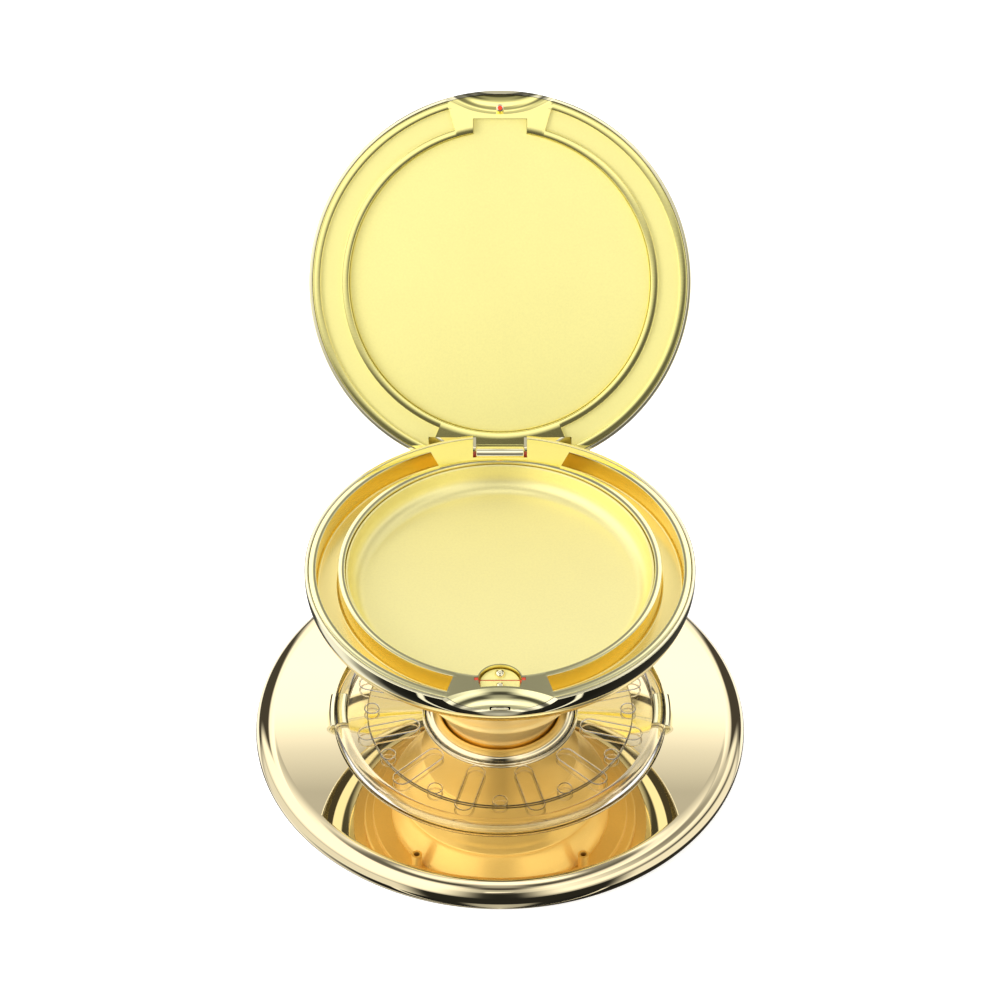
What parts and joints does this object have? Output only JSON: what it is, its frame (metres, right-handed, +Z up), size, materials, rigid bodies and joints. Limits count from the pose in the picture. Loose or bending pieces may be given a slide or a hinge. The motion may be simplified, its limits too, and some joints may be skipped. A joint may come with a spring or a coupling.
{
  "type": "powder compact on a collapsible phone grip",
  "caption": "Round powder compact with a hinged lid on a collapsible bellows stem, standing on a round magnetic base disc.",
  "frame": {"origin": "centre of the resting face of the grip pad, under the axis of the stem", "axes": "+Z up along the stem, +Y to the hinge at the back, -Y to the catch at the front, +X to the right"},
  "size_m": [0.058, 0.0794, 0.0589],
  "materials": {
    "mirror_gold": "vacuum plated, mirror bright",
    "satin_gold": "plated over a fine satin texture",
    "polished_gold": "polished",
    "bellows_gold": "metallic elastomer, soft sheen",
    "clear": "clear moulded plastic",
    "pad": "matt silicone",
    "floor": "moulded",
    "magnet": "nickel plated",
    "steel": "zinc plated",
    "red_pin": "red lacquer"
  },
  "bodies": {
    "stand": {"grip_pad": "pad", "base_floor": "floor", "magnet_ring": "magnet", "steel_ring": "steel", "base_cover": "mirror_gold", "clear_platform": "clear", "left_clip": "polished_gold", "right_clip": "polished_gold", "collar_ring": "mirror_gold", "neck_hub": "bellows_gold", "bellows": "bellows_gold"},
    "top": {"top_plate": "satin_gold"},
    "compact": {"bayonet_plug": "satin_gold", "bearing_disc": "satin_gold", "base_shell": "mirror_gold", "base_tray": "satin_gold", "powder_pan": "satin_gold", "catch_spring": "steel", "catch_pin": "red_pin", "hinge_pin": "red_pin"},
    "catch": {"catch_disc": "satin_gold", "catch_studs": "polished_gold"},
    "button": {"catch_button": "polished_gold"},
    "lid": {"hinge_leaf": "polished_gold", "lid_shell": "mirror_gold", "lid_frame": "satin_gold", "mirror_seat": "satin_gold", "lid_hook": "polished_gold", "hook_tip": "red_pin"}
  },
  "joints": [
    {"name": "stem_collapse", "type": "slide", "parent": "stand", "child": "top", "axis": [0, 0, -1], "range_m": [0, 0.012], "deforming": ["bellows"]},
    {"name": "top_twist", "type": "hinge", "parent": "top", "child": "compact", "pos_m": [0, 0, 0.0229], "axis": [0, 0, 1], "range_deg": [0, 90]},
    {"name": "lid_hinge", "type": "hinge", "parent": "compact", "child": "lid", "pos_m": [0, 0.0205, 0.02665], "axis": [1, 0, 0], "range_deg": [0, 128.3]},
    {"name": "catch_press", "type": "slide", "parent": "compact", "child": "button", "axis": [0, 1, 0], "range_m": [0, 0.0004], "stiffness_N_per_m": 800},
    {"name": "catch_rock", "type": "hinge", "parent": "compact", "child": "catch", "pos_m": [0, -0.0182, 0.02721], "axis": [1, 0, 0], "range_deg": [0, 5]}
  ],
  "couplings": [
    {"joint": "catch_rock", "follows": "catch_press", "rad_per_m": 218.17}
  ]
}
